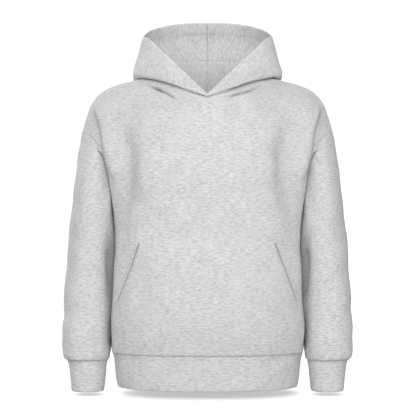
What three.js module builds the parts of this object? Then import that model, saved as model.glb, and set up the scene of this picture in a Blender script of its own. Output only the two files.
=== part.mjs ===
// A pullover hoodie in sweatshirt fleece, filled out as when worn, with nobody in it.
// Millimetres, +Z up. The front faces -Y, and +X is on the right of someone looking at the front.
// The origin is the middle of the neck opening, level with the top of the shoulders.
// Every piece is a wall of cloth: a grid of points on its outer face, and the same points moved in.
import * as THREE from "three";

// Cloth and seams
const clothThickness = 2.2;
const bandThickness = 3.8; // the hem band and the cuffs are folded double
const turnedHemThickness = 4.2; // the hood's face edge, turned in and stitched
const turnedHemWidth = 25;
const seamGap = 0.3;

// Levels of the body
const hemSeamLevel = -577;
const underarmLevel = -250;
const lowerShare = 0.6; // share of a panel's rows that lie below the underarm
const neckShare = 0.257; // share of a panel's half width that ends on the neckline, the rest on the shoulder
const torsoSquareness = 2.4; // exponents of the rounded-square sections
const armSquareness = 2.2;
const armLeanDepth = 22; // how far behind the middle the arm presses the side in
const armLeanSpread = 48;

// The body below the underarm, one row for each level
const torsoSections = [
  { level: -577, halfWidth: 202, front: 126, back: 112, armDent: 4 },
  { level: -540, halfWidth: 206, front: 130, back: 115, armDent: 12 },
  { level: -500, halfWidth: 207, front: 132, back: 117, armDent: 18 },
  { level: -440, halfWidth: 202, front: 133, back: 117, armDent: 20 },
  { level: -375, halfWidth: 201, front: 134, back: 116, armDent: 21 },
  { level: -326, halfWidth: 203, front: 135, back: 117, armDent: 21 },
  { level: -250, halfWidth: 208, front: 136, back: 119, armDent: 18 },
];

// The neckline, from the middle of the front (turn 0) over the shoulder (turn 0.5) to the middle of the back (turn 1)
const necklinePoints = [
  { turn: 0, x: 0, y: -98, z: -56 },
  { turn: 0.12, x: 24, y: -94, z: -52 },
  { turn: 0.25, x: 50, y: -77, z: -38 },
  { turn: 0.38, x: 75, y: -44, z: -13 },
  { turn: 0.5, x: 90, y: -2, z: 6 },
  { turn: 0.62, x: 86, y: 34, z: 2 },
  { turn: 0.75, x: 66, y: 59, z: -7 },
  { turn: 0.88, x: 36, y: 72, z: -13 },
  { turn: 1, x: 0, y: 76, z: -16 },
];

// The shoulder seam, from the neckline (run 0) to the dropped armhole's top (run 1)
const shoulderPoints = [
  { run: 0, x: 90, y: -2, z: 6 },
  { run: 0.16, x: 120, y: 3, z: -2 },
  { run: 0.33, x: 152, y: 7, z: -10 },
  { run: 0.5, x: 189, y: 10, z: -19 },
  { run: 0.64, x: 220, y: 12, z: -32.5 },
  { run: 0.78, x: 243, y: 13, z: -57 },
  { run: 0.89, x: 256, y: 13, z: -91 },
  { run: 1, x: 266, y: 12, z: -126 },
];

// How each lengthwise line of a panel leaves the underarm level and reaches its top edge
const frontYoke = [
  { across: 0, lowOut: 0, lowLead: 10, lowRise: 85, topIn: 0, topLead: 20, topFall: 32 },
  { across: 0.13, lowOut: 0, lowLead: 10, lowRise: 85, topIn: 0, topLead: 32, topFall: 32 },
  { across: 0.193, lowOut: 0, lowLead: 10, lowRise: 88, topIn: 0, topLead: 57, topFall: 34 },
  { across: 0.257, lowOut: 0, lowLead: 10, lowRise: 90, topIn: 0, topLead: 96, topFall: 36 },
  { across: 0.5, lowOut: 1, lowLead: 11, lowRise: 90, topIn: 0, topLead: 76, topFall: 30 },
  { across: 0.7, lowOut: 3, lowLead: 15, lowRise: 72, topIn: 0, topLead: 66, topFall: 27 },
  { across: 0.85, lowOut: 6, lowLead: 26, lowRise: 60, topIn: 4, topLead: 58, topFall: 26 },
  { across: 1, lowOut: 6, lowLead: 62, lowRise: 58, topIn: 27, topLead: 74, topFall: -14 },
];
const backYoke = [
  { across: 0, lowOut: 0, lowLead: 6, lowRise: 90, topIn: 0, topLead: 24, topFall: 36 },
  { across: 0.13, lowOut: 0, lowLead: 6, lowRise: 90, topIn: 0, topLead: 30, topFall: 34 },
  { across: 0.193, lowOut: 0, lowLead: 6, lowRise: 93, topIn: 0, topLead: 58, topFall: 31 },
  { across: 0.257, lowOut: 0, lowLead: 6, lowRise: 95, topIn: 0, topLead: 98, topFall: 28 },
  { across: 0.5, lowOut: 1, lowLead: 12, lowRise: 95, topIn: 0, topLead: 73, topFall: 24 },
  { across: 0.7, lowOut: 3, lowLead: 20, lowRise: 80, topIn: 0, topLead: 64, topFall: 24 },
  { across: 0.85, lowOut: 6, lowLead: 36, lowRise: 66, topIn: 4, topLead: 60, topFall: 26 },
  { across: 1, lowOut: 6, lowLead: 74, lowRise: 50, topIn: 24, topLead: 70, topFall: -8 },
];

// The largest folds, drawn as seen from the front or the back: a trough has a negative depth
const frontFolds = [
  { x0: -186, z0: -98, x1: -149, z1: -202, x2: -178, z2: -338, depth: -8, width: 26 },
  { x0: 170, z0: -112, x1: 138, z1: -198, x2: 178, z2: -356, depth: -7, width: 25 },
  { x0: -205, z0: -130, x1: -186, z1: -215, x2: -190, z2: -300, depth: 4, width: 16 },
  { x0: 206, z0: -130, x1: 184, z1: -215, x2: 189, z2: -300, depth: 4, width: 16 },
];
const foldPieces = 12; // straight pieces of a fold's line
const foldEnd = 0.04;
const foldEndPower = 0.7;
const seamHold = 0.08; // share of a panel beside its hem and top seams that the folds leave flat
const sideHold = 0.22;
const backFolds = [
  { x0: -184, z0: -110, x1: -146, z1: -226, x2: -172, z2: -380, depth: -8, width: 27 },
  { x0: 176, z0: -104, x1: 150, z1: -214, x2: 180, z2: -350, depth: -7, width: 26 },
  { x0: -92, z0: -290, x1: -70, z1: -410, x2: -96, z2: -540, depth: -5, width: 30 },
  { x0: 62, z0: -320, x1: 80, z1: -430, x2: 70, z2: -560, depth: -4, width: 28 },
];

// The sleeve on the +X side, one row for each ring from the armhole (along 0) to the cuff seam (along 1)
const sleeveRings = [
  { along: 0, outerX: 266, outerZ: -126, innerX: 190, innerZ: -250, frontY: -50, backY: 62 },
  { along: 0.12, outerX: 274.5, outerZ: -178, innerX: 195.5, innerZ: -290, frontY: -62, backY: 88 },
  { along: 0.3, outerX: 285, outerZ: -265, innerX: 192, innerZ: -345, frontY: -64, backY: 96 },
  { along: 0.5, outerX: 294.5, outerZ: -365, innerX: 192.5, innerZ: -410, frontY: -62, backY: 86 },
  { along: 0.7, outerX: 301, outerZ: -460, innerX: 195.5, innerZ: -480, frontY: -64, backY: 64 },
  { along: 0.86, outerX: 303.5, outerZ: -540, innerX: 200.5, innerZ: -545, frontY: -70, backY: 40 },
  { along: 0.95, outerX: 302, outerZ: -582, innerX: 202.5, innerZ: -583, frontY: -71, backY: 28 },
  { along: 0.985, outerX: 298, outerZ: -595, innerX: 205.5, innerZ: -596, frontY: -68, backY: 22 },
  { along: 1, outerX: 292.5, outerZ: -598, innerX: 208, innerZ: -598, frontY: -62.5, backY: 15.5 },
];
const armholeFade = 0.24; // share of the sleeve over which the armhole's outline turns into a plain ring

// Bands, one row for each level
const bandRings = [
  { level: -577, widthShare: 1, depthShare: 1 },
  { level: -587, widthShare: 0.981, depthShare: 0.986 },
  { level: -615, widthShare: 0.966, depthShare: 0.97 },
  { level: -643, widthShare: 0.95, depthShare: 0.955 },
  { level: -649, widthShare: 0.94, depthShare: 0.944 },
];
const cuffRings = [
  { level: -606, x: 249.5, y: -24, halfWidth: 39.8, halfDepth: 37 },
  { level: -624, x: 249, y: -25, halfWidth: 37.4, halfDepth: 36 },
  { level: -643, x: 249, y: -26, halfWidth: 35.4, halfDepth: 35 },
  { level: -654, x: 249.2, y: -26.5, halfWidth: 34.4, halfDepth: 34 },
  { level: -657.5, x: 249.2, y: -26.5, halfWidth: 33.2, halfDepth: 33 },
];

// The hood on the +X side, lying back, from the front (turn 0) to the centre seam (turn 1). Its cloth stands up from
// the neckline and rolls over, falls to its lowest edge and turns there, and rises to its open face.
const hoodStand = [
  { turn: 0, rise: 0, roll: 0.5 },
  { turn: 0.12, rise: 1, roll: 1 },
  { turn: 0.25, rise: 6, roll: 2 },
  { turn: 0.38, rise: 13, roll: 4 },
  { turn: 0.5, rise: 18, roll: 6 },
  { turn: 0.62, rise: 28, roll: 7 },
  { turn: 0.75, rise: 38, roll: 8 },
  { turn: 0.88, rise: 47, roll: 9 },
  { turn: 1, rise: 52, roll: 9 },
];
const hoodFold = [
  { turn: 0, x: -8, y: -102, z: -54, roll: 2.8 },
  { turn: 0.12, x: 27, y: -99, z: -40, roll: 3 },
  { turn: 0.25, x: 62, y: -84, z: -31, roll: 4 },
  { turn: 0.38, x: 105, y: -46, z: -16, roll: 6 },
  { turn: 0.5, x: 150, y: 0, z: -6, roll: 8 },
  { turn: 0.62, x: 157, y: 50, z: -18, roll: 11 },
  { turn: 0.75, x: 135, y: 102, z: -62, roll: 13 },
  { turn: 0.88, x: 80, y: 136, z: -102, roll: 15 },
  { turn: 1, x: 0, y: 148, z: -117, roll: 16 },
];
const hoodFace = [
  { turn: 0, x: -9, y: -104, z: -50, bulge: 0 },
  { turn: 0.12, x: 18, y: -89, z: -29, bulge: 1 },
  { turn: 0.25, x: 48, y: -65, z: 1, bulge: 3 },
  { turn: 0.38, x: 86, y: -33, z: 38, bulge: 4 },
  { turn: 0.5, x: 124, y: 2, z: 76, bulge: 2 },
  { turn: 0.62, x: 138, y: 42, z: 85, bulge: 2 },
  { turn: 0.75, x: 118, y: 84, z: 106, bulge: 5 },
  { turn: 0.88, x: 64, y: 112, z: 121, bulge: 8 },
  { turn: 1, x: 0, y: 121, z: 125, bulge: 9 },
];
const hoodRollStart = 0.1; // turn at which the hood starts to roll over
const hoodRollFull = 0.36;
const hoodFlatSpread = 0.84;
const hemStep = 1.08; // the cloth doubles over this share of the hem's width
const underlap = 7.4; // how far the other half's front end is tucked behind this one's

const underlapFull = 0.14; // turns over which the tuck fades
const underlapEnd = 0.3;

// The pocket, as shares of the front panel's rows and of its half width
const pocketTop = 0.422;
const pocketMouthEnd = 0.136; // where the slanted opening meets the short side seam
const pocketTopReach = 0.447;
const pocketSideReach = 0.785;
const pocketLift = 0.5; // clear of the front panel where it is sewn
const pocketPuff = 9; // its slack in the middle
const pocketPuffSpread = 0.8;
const pocketSideGrip = 6;
const pocketMouthEase = 0.08; // height over which the sewn side lets go
const pocketMouthCurve = 0.72;

// Grid sizes. Pieces that are sewn together have a point for each point of the other's edge.
const neckColumns = 8; // of half a panel
const shoulderColumns = 8;
const panelLowerRows = 8;
const panelUpperRows = 10;
const sleeveRows = 15;
const sleeveRowPower = 0.95; // rows lie a little closer at the armhole
const hoodRows = 14;
const hemRows = 3;
const hoodLineSteps = 120;
const pocketColumns = 22;
const pocketRows = 8;
const armColumns = 2 * panelUpperRows;
const hoodColumns = 2 * neckColumns;

const mix = (a, b, share) => a + (b - a) * share;
const clamp = (value, low, high) => Math.min(high, Math.max(low, value));
const smooth = (from, to, value) => {
  const share = clamp((value - from) / (to - from), 0, 1);
  return share * share * (3 - 2 * share);
};
const steps = (count) => Array.from({ length: count + 1 }, (_, i) => i / count);

// Reads one column of a table at any place between its rows, along a smooth curve.
function read(table, place, column, at) {
  const last = table.length - 1;
  const rising = table[last][place] > table[0][place];
  let i = 0;
  while (i < last - 1 && (rising ? at > table[i + 1][place] : at < table[i + 1][place])) i += 1;
  const slope = (k) => {
    const a = table[Math.max(k - 1, 0)];
    const b = table[Math.min(k + 1, last)];
    return (b[column] - a[column]) / (b[place] - a[place]);
  };
  const p = table[i];
  const q = table[i + 1];
  const span = q[place] - p[place];
  const t = clamp((at - p[place]) / span, 0, 1);
  const t2 = t * t;
  const t3 = t2 * t;
  return (
    p[column] * (2 * t3 - 3 * t2 + 1) +
    q[column] * (3 * t2 - 2 * t3) +
    span * (slope(i) * (t3 - 2 * t2 + t) + slope(i + 1) * (t3 - t2))
  );
}

const readPoint = (table, place, at) =>
  new THREE.Vector3(...["x", "y", "z"].map((name) => read(table, place, name, at)));

// A point of a rounded-square ring: angle 0 is the +X side, a quarter turn is the front.
function ringPoint(angle, halfWidth, front, back, squareness) {
  const power = 2 / squareness;
  const c = Math.cos(angle);
  const s = Math.sin(angle);
  const depth = s > 0 ? front : back;
  return [Math.sign(c) * Math.abs(c) ** power * halfWidth, -Math.sign(s) * Math.abs(s) ** power * depth];
}

// The body at or below the underarm. across runs from -1 at one side seam to 1 at the other.
function torsoPoint(face, across, level) {
  const at = (column) => read(torsoSections, "level", column, level);
  const angle = (Math.PI / 2) * (1 - Math.abs(across)) * (face < 0 ? 1 : -1);
  const [x, y] = ringPoint(angle, at("halfWidth"), at("front"), at("back"), torsoSquareness);
  const lean = Math.exp(-(((y - armLeanDepth) / armLeanSpread) ** 2));
  const dent = at("armDent") * lean * smooth(0.3, 1, Math.abs(across));
  return new THREE.Vector3(Math.sign(across) * (x - dent), y, level);
}

// The top edge of a panel: its neckline, then its shoulder seam.
function topEdge(face, across) {
  const reach = Math.abs(across);
  const point =
    reach < neckShare
      ? readPoint(necklinePoints, "turn", face < 0 ? (0.5 * reach) / neckShare : 1 - (0.5 * reach) / neckShare)
      : readPoint(shoulderPoints, "run", (reach - neckShare) / (1 - neckShare));
  point.x *= Math.sign(across) || 1;
  return point;
}

// How far a point seen at x, z lies from a fold's line, and how far along the fold it is.
function nearFold(fold, x, z) {
  let best = { distance: Infinity, along: 0 };
  let before = null;
  const through = (start, middle, end, t) =>
    mix(mix(start, 2 * middle - (start + end) / 2, t), mix(2 * middle - (start + end) / 2, end, t), t);
  for (const t of steps(foldPieces)) {
    const px = through(fold.x0, fold.x1, fold.x2, t);
    const pz = through(fold.z0, fold.z1, fold.z2, t);
    if (before) {
      const dx = px - before.x;
      const dz = pz - before.z;
      const k = clamp(((x - before.x) * dx + (z - before.z) * dz) / (dx * dx + dz * dz), 0, 1);
      const distance = Math.hypot(x - before.x - k * dx, z - before.z - k * dz);
      if (distance < best.distance) best = { distance, along: before.t + k / foldPieces };
    }
    before = { x: px, z: pz, t };
  }
  return best;
}

// The folds' depth there: greatest on a fold's line and half way along it, soft to its sides and ends.
function foldDepth(folds, x, z) {
  return folds.reduce((depth, fold) => {
    const { distance, along } = nearFold(fold, x, z);
    const ends = Math.sin(Math.PI * clamp(along, foldEnd, 1 - foldEnd)) ** foldEndPower;
    return depth + fold.depth * Math.exp(-((distance / fold.width) ** 2)) * ends;
  }, 0);
}

// A point of the front (face -1) or back (face 1) panel. up runs from 0 at the hem seam to 1 at the top edge.
function panelPoint(face, across, up) {
  if (up <= lowerShare) return torsoPoint(face, across, mix(hemSeamLevel, underarmLevel, up / lowerShare));
  const yoke = face < 0 ? frontYoke : backYoke;
  const side = Math.sign(across) || 1;
  const at = (column) => read(yoke, "across", column, Math.abs(across));
  const low = torsoPoint(face, across, underarmLevel);
  const top = topEdge(face, across);
  const lowHandle = low.clone().add(new THREE.Vector3(side * at("lowOut"), face * at("lowLead"), at("lowRise")));
  const topHandle = top.clone().add(new THREE.Vector3(-side * at("topIn"), face * at("topLead"), -at("topFall")));
  return new THREE.CubicBezierCurve3(low, lowHandle, topHandle, top).getPoint((up - lowerShare) / (1 - lowerShare));
}

// The outward direction at one point of a grid, from its neighbours.
function outward(grid, row, column, wraps) {
  const columns = grid[0].length;
  const inRange = (c) => (wraps ? (c + columns) % columns : clamp(c, 0, columns - 1));
  const pick = (r, c) => grid[clamp(r, 0, grid.length - 1)][inRange(c)];
  const acrossStep = pick(row, column + 1).clone().sub(pick(row, column - 1));
  const upStep = pick(row + 1, column).clone().sub(pick(row - 1, column));
  return acrossStep.cross(upStep).normalize();
}

// Moves every point of a grid along its outward direction.
const moved = (grid, amount) =>
  grid.map((line, r) => line.map((p, c) => p.clone().addScaledVector(outward(grid, r, c, false), amount(r, c))));

// Moves the points of a panel in or out at its folds, and leaves its edges where the seams are.
const folded = (grid, folds, hold) => moved(grid, (r, c) => foldDepth(folds, grid[r][c].x, grid[r][c].z) * hold(r, c));

// The closed solid between an outer grid and an inner one. Columns turn so that the outer faces look out.
// leans says which way the diagonals of a column run.
function solidBetween(outer, inner, wraps, leans) {
  const rows = outer.length;
  const columns = outer[0].length;
  const positions = [...outer.flat(), ...inner.flat()].flatMap((p) => [p.x, p.y, p.z]);
  const indices = [];
  const at = (layer, r, c) => layer * rows * columns + r * columns + (c % columns);
  const quad = (a, b, c, d, leansLeft = false) =>
    leansLeft ? indices.push(a, b, d, b, c, d) : indices.push(a, b, c, a, c, d);
  const spans = wraps ? columns : columns - 1;
  for (let r = 0; r < rows - 1; r += 1)
    for (let c = 0; c < spans; c += 1) {
      quad(at(0, r, c), at(0, r, c + 1), at(0, r + 1, c + 1), at(0, r + 1, c), leans(c));
      quad(at(1, r, c), at(1, r + 1, c), at(1, r + 1, c + 1), at(1, r, c + 1), leans(c));
    }
  for (let c = 0; c < spans; c += 1) {
    quad(at(0, 0, c), at(1, 0, c), at(1, 0, c + 1), at(0, 0, c + 1));
    quad(at(0, rows - 1, c), at(0, rows - 1, c + 1), at(1, rows - 1, c + 1), at(1, rows - 1, c));
  }
  if (!wraps)
    for (let r = 0; r < rows - 1; r += 1) {
      quad(at(0, r, 0), at(0, r + 1, 0), at(1, r + 1, 0), at(1, r, 0));
      quad(at(0, r, columns - 1), at(1, r, columns - 1), at(1, r + 1, columns - 1), at(0, r + 1, columns - 1));
    }
  const geometry = new THREE.BufferGeometry();
  geometry.setAttribute("position", new THREE.Float32BufferAttribute(positions, 3));
  geometry.setIndex(indices);
  return geometry;
}

// Where pieces meet at the same points and face nearly the same way, their walls turn in along one shared direction,
// so that none runs into another. Where they face each other, as at the underarm, each keeps its own.
const directionsAt = new Map();
const samePoint = 0.005;
const pointKey = (p) => [p.x, p.y, p.z].map((value) => Math.round(value / samePoint)).join();

function findDirections(item) {
  item.directions = item.grid.map((line, r) => line.map((_, c) => outward(item.grid, r, c, item.wraps)));
  item.grid.forEach((line, r) =>
    line.forEach((p, c) => {
      const key = pointKey(p);
      if (!directionsAt.has(key)) directionsAt.set(key, []);
      directionsAt.get(key).push(item.directions[r][c]);
    }),
  );
}

function sharedDirection(p, own) {
  const sum = own.clone();
  for (const other of directionsAt.get(pointKey(p)))
    if (other !== own) sum.addScaledVector(other, smooth(-0.3, 0.3, own.dot(other)));
  return sum.normalize();
}

// The wall of a piece: its grid, and the same points moved in. Sewn edges stop half a gap short of the seam.
function clothWall({ grid, directions, wraps, thickness, seams, leans }) {
  const outer = grid.map((line) => line.map((p) => p.clone()));
  const inner = grid.map((line, r) =>
    line.map((p, c) => p.clone().addScaledVector(sharedDirection(p, directions[r][c]), -thickness(r, c))),
  );
  const lastRow = grid.length - 1;
  const lastColumn = grid[0].length - 1;
  const trim = (r, c, toRow, toColumn) => {
    const step = grid[toRow][toColumn].clone().sub(grid[r][c]).setLength(seamGap / 2);
    outer[r][c].add(step);
    inner[r][c].add(step);
  };
  for (let c = 0; c <= lastColumn; c += 1) {
    if (seams.includes("bottom")) trim(0, c, 1, c);
    if (seams.includes("top")) trim(lastRow, c, lastRow - 1, c);
  }
  for (let r = 0; r <= lastRow; r += 1) {
    if (seams.includes("start")) trim(r, 0, r, 1);
    if (seams.includes("end")) trim(r, lastColumn, r, lastColumn - 1);
  }
  return solidBetween(outer, inner, wraps, leans);
}

const flipped = (p) => new THREE.Vector3(-p.x, p.y, p.z);
const mirrored = (grid) => grid.map((line) => line.map(flipped).reverse());
const mirroredRing = (grid) =>
  grid.map((line) => line.map((_, i) => flipped(line[(2 * line.length - 2 - i) % line.length])));

const rowShares = [
  ...steps(panelLowerRows).map((k) => k * lowerShare),
  ...steps(panelUpperRows).slice(1).map((k) => mix(lowerShare, 1, k)),
];
const halfAcross = [
  ...steps(neckColumns).map((k) => k * neckShare),
  ...steps(shoulderColumns).slice(1).map((k) => mix(neckShare, 1, k)),
];
const panelAcross = [...halfAcross.slice(1).reverse().map((k) => -k), ...halfAcross];

function panelGrid(face) {
  const rows = rowShares.map((up) => {
    const line = panelAcross.map((across) => panelPoint(face, across, up));
    return face < 0 ? line : line.reverse();
  });
  const hold = (r, c) =>
    smooth(0, seamHold, Math.min(rowShares[r], 1 - rowShares[r])) * smooth(0, sideHold, 1 - Math.abs(panelAcross[c]));
  return folded(rows, face < 0 ? frontFolds : backFolds, hold);
}

// The armhole's outline at one angle round the arm: 0 is its top, a quarter turn the front, a half turn the underarm.
function armholePoint(angle) {
  const turn = angle / Math.PI;
  const face = turn <= 1 ? -1 : 1;
  const rise = Math.abs(1 - turn);
  return panelPoint(face, 1, mix(lowerShare, 1, rise));
}

function armRing(angle, ring) {
  const [x, y] = ringPoint(angle, ring.halfWidth, ring.halfDepth, ring.halfDepth, armSquareness);
  return new THREE.Vector3(ring.x + x, ring.y + y, ring.level + (ring.lean * x) / ring.halfWidth);
}

function sleevePoint(angle, along) {
  const ringAt = (at) => {
    const get = (column) => read(sleeveRings, "along", column, at);
    const middle = (a, b) => (get(a) + get(b)) / 2;
    const half = (a, b) => (get(a) - get(b)) / 2;
    const ring = {
      x: middle("outerX", "innerX"),
      y: middle("backY", "frontY"),
      level: middle("outerZ", "innerZ"),
      lean: half("outerZ", "innerZ"),
      halfWidth: half("outerX", "innerX"),
      halfDepth: half("backY", "frontY"),
    };
    return armRing(angle, ring);
  };
  if (along === 0) return armholePoint(angle);
  const fromArmhole = armholePoint(angle).sub(ringAt(0)).multiplyScalar(1 - smooth(0, armholeFade, along));
  return ringAt(along).add(fromArmhole);
}

const fullTurn = 2 * Math.PI;
const armAngles = steps(armColumns)
  .slice(1)
  .map((k) => ((1 - k) * fullTurn) % fullTurn);

const sleeveGrid = () =>
  steps(sleeveRows).map((k) => armAngles.map((angle) => sleevePoint(angle, (1 - k) ** sleeveRowPower)));

function cuffGrid() {
  const top = armAngles.map((angle) => sleevePoint(angle, 1));
  const rings = cuffRings.map((ring) => armAngles.map((angle) => armRing(angle, { ...ring, lean: 0 })));
  return [top, ...rings].reverse();
}

// The band follows the outline of the hem, drawn in a little more at each level.
function bandGrid() {
  const outline = [
    ...halfAcross.slice().reverse().map((across) => torsoPoint(-1, across, hemSeamLevel)),
    ...halfAcross.slice(1).map((across) => torsoPoint(-1, -across, hemSeamLevel)),
    ...halfAcross.slice(0, -1).reverse().map((across) => torsoPoint(1, -across, hemSeamLevel)),
    ...halfAcross.slice(1, -1).map((across) => torsoPoint(1, across, hemSeamLevel)),
  ].reverse();
  return [...bandRings].reverse().map((ring) =>
    outline.map((p) => new THREE.Vector3(p.x * ring.widthShare, p.y * ring.depthShare, ring.level)),
  );
}

// The line that the hood's cloth follows at one turn, from the neckline to the open face. At the front it lies flat
// on the neckline, and from there to the sides it starts to stand up and roll over.
function hoodLine(turn) {
  const neck = readPoint(necklinePoints, "turn", turn);
  const fold = readPoint(hoodFold, "turn", turn);
  const face = readPoint(hoodFace, "turn", turn);
  if (turn < hoodRollStart) neck.x = mix(fold.x, neck.x, turn / hoodRollStart);
  const rise = read(hoodStand, "turn", "rise", turn);
  const standRoll = read(hoodStand, "turn", "roll", turn);
  const foldRoll = read(hoodFold, "turn", "roll", turn);
  const bulge = read(hoodFace, "turn", "bulge", turn);
  const out = new THREE.Vector3(fold.x - neck.x, fold.y - neck.y, 0).normalize();
  const place = (from, outBy, upBy) => from.clone().addScaledVector(out, outBy).add(new THREE.Vector3(0, 0, upBy));
  const standOuter = place(neck, 2 * standRoll + 2, rise - standRoll);
  const foldInner = place(fold, -2 * foldRoll, foldRoll);
  const foldOuter = place(fold, 0, foldRoll);
  const rolled = [
    neck,
    place(neck, 1, rise * 0.55),
    place(neck, standRoll + 1, rise),
    standOuter,
    standOuter.clone().lerp(foldInner, 0.5),
    foldInner,
    place(fold, -foldRoll, 0),
    foldOuter,
    place(foldOuter.clone().lerp(face, 0.5), bulge, 0),
    face,
  ];
  const flat = steps(7).map((k) => neck.clone().lerp(fold, k * hoodFlatSpread));
  flat[7] = fold.clone();
  flat.push(place(fold.clone().lerp(face, 0.5), bulge, 0), face.clone());
  const share = smooth(hoodRollStart, hoodRollFull, turn);
  return new THREE.CatmullRomCurve3(flat.map((p, i) => p.lerp(rolled[i], share)), false, "centripetal");
}

// Even rows up to the turned hem, and more across the hem.
function hoodGrid() {
  const columns = steps(hoodColumns).map((turn) => {
    const line = hoodLine(turn);
    const points = steps(hoodLineSteps).map((t) => line.getPoint(t));
    const toFace = points.map(() => 0);
    for (let i = hoodLineSteps - 1; i >= 0; i -= 1) toFace[i] = toFace[i + 1] + points[i].distanceTo(points[i + 1]);
    const hem = Math.min(turnedHemWidth, toFace[0] / 2);
    const shareAt = (distance) => {
      const i = clamp(toFace.findIndex((d) => d <= distance), 1, hoodLineSteps);
      return (i - (distance - toFace[i]) / (toFace[i - 1] - toFace[i])) / hoodLineSteps;
    };
    const start = shareAt(hem * hemStep);
    const shares = steps(hoodRows).map((k) => k * start);
    shares.push(...steps(hemRows).map((k) => shareAt(hem * (1 - k))));
    return shares.map((t) => line.getPoint(clamp(t, 0, 1)));
  });
  return columns[0].map((_, r) => columns.map((line) => line[r]));
}

function tuckedGrid(grid) {
  return grid.map((line) =>
    line.map((p, c) => p.clone().setY(p.y + underlap * (1 - smooth(underlapFull, underlapEnd, c / hoodColumns)))),
  );
}

// How far the pocket reaches across the front panel at one height.
function pocketReach(up) {
  if (up <= pocketMouthEnd) return pocketSideReach;
  const share = (up - pocketMouthEnd) / (pocketTop - pocketMouthEnd);
  return mix(pocketSideReach, pocketTopReach, share ** pocketMouthCurve);
}

function pocketGrid() {
  const heights = steps(pocketRows).map((k) => mix(0, pocketTop, k));
  const across = steps(pocketColumns).map((k) => mix(-1, 1, k));
  const sheet = heights.map((up) => across.map((k) => panelPoint(-1, k * pocketReach(up), up)));
  const onPanel = folded(sheet, frontFolds, (r) => smooth(0, seamHold, heights[r]));
  return moved(onPanel, (r, c) => {
    const middle = Math.sin(Math.PI * clamp(heights[r] / pocketTop, 0, 1)) ** pocketPuffSpread;
    const held = 1 - smooth(pocketMouthEnd, pocketMouthEnd + pocketMouthEase, heights[r]);
    const side = 1 - held * Math.abs(across[c]) ** pocketSideGrip;
    return pocketLift + clothThickness + pocketPuff * middle * side;
  });
}

const fleece = new THREE.MeshStandardMaterial({ color: "#cfcfd1", roughness: 0.92, metalness: 0 });
const hoodFleece = new THREE.MeshStandardMaterial({ color: "#d2d2d4", roughness: 0.92, metalness: 0 });
const bandFleece = new THREE.MeshStandardMaterial({ color: "#c9c9cb", roughness: 0.94, metalness: 0 });

const single = () => clothThickness;
const double = () => bandThickness;
const hoodThickness = (r) => (r > hoodRows ? turnedHemThickness : clothThickness);
const towardsLeft = () => true;
const towardsRight = () => false;
const awayFromMiddle = (c) => c < halfAcross.length - 1;
const allEdges = ["bottom", "top", "start", "end"];
const hoodEdges = ["bottom", "start", "end"];
const hoodPanel = hoodGrid();
const sleeve = sleeveGrid();
const cuff = cuffGrid();

const panel = { thickness: single, seams: allEdges, leans: awayFromMiddle, material: fleece };
const tube = { thickness: single, seams: ["top", "bottom"], wraps: true, material: fleece };
const ribbon = { thickness: double, seams: ["top"], wraps: true, material: bandFleece };
const hood = { thickness: hoodThickness, seams: hoodEdges, material: hoodFleece };

const pieces = [
  { name: "front_panel", grid: panelGrid(-1), ...panel },
  { name: "back_panel", grid: panelGrid(1), ...panel },
  { name: "kangaroo_pocket", grid: pocketGrid(), thickness: single, seams: ["bottom"], material: fleece },
  { name: "hem_band", grid: bandGrid(), ...ribbon },
  { name: "sleeve_right", grid: sleeve, ...tube },
  { name: "sleeve_left", grid: mirroredRing(sleeve), ...tube, leans: towardsLeft },
  { name: "cuff_right", grid: cuff, ...ribbon },
  { name: "cuff_left", grid: mirroredRing(cuff), ...ribbon, leans: towardsLeft },
  { name: "hood_right", grid: hoodPanel, ...hood },
  { name: "hood_left", grid: mirrored(tuckedGrid(hoodPanel)), ...hood, leans: towardsLeft },
];
pieces.forEach(findDirections);

const garment = new THREE.Group();
garment.name = "pullover_hoodie";
for (const item of pieces) {
  const mesh = new THREE.Mesh(clothWall({ wraps: false, leans: towardsRight, ...item }), item.material);
  mesh.name = item.name;
  garment.add(mesh);
}

export default garment;
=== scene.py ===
import math
import bpy
import numpy as np
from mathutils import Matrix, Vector


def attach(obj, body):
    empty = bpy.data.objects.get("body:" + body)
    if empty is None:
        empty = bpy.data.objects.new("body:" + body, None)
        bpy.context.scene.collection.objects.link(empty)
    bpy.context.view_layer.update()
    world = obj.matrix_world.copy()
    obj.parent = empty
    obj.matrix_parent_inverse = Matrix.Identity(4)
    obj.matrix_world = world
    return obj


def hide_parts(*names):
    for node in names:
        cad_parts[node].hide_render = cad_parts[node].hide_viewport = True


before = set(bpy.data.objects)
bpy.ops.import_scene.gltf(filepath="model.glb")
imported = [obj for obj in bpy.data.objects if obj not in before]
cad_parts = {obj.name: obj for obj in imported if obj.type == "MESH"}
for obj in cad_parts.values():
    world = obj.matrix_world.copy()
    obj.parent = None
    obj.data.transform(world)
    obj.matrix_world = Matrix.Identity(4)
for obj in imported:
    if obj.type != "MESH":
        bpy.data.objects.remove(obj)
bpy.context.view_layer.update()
print("frame loaded")


def mix(a, b, share):
    return a + (b - a) * share


def smooth(start, end, value):
    share = np.clip((value - start) / (end - start), 0, 1)
    return share * share * (3 - 2 * share)


def bell(distance, width):
    return np.exp(-((distance / width) ** 2))


def unit(v):
    return v / np.maximum(np.linalg.norm(v, axis=-1, keepdims=True), 1e-9)


# a table of named columns, of which the first is the place that the others are read at
def makeTable(names, *rows):
    return dict(zip(names.split(), np.array(rows, float).T))


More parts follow.
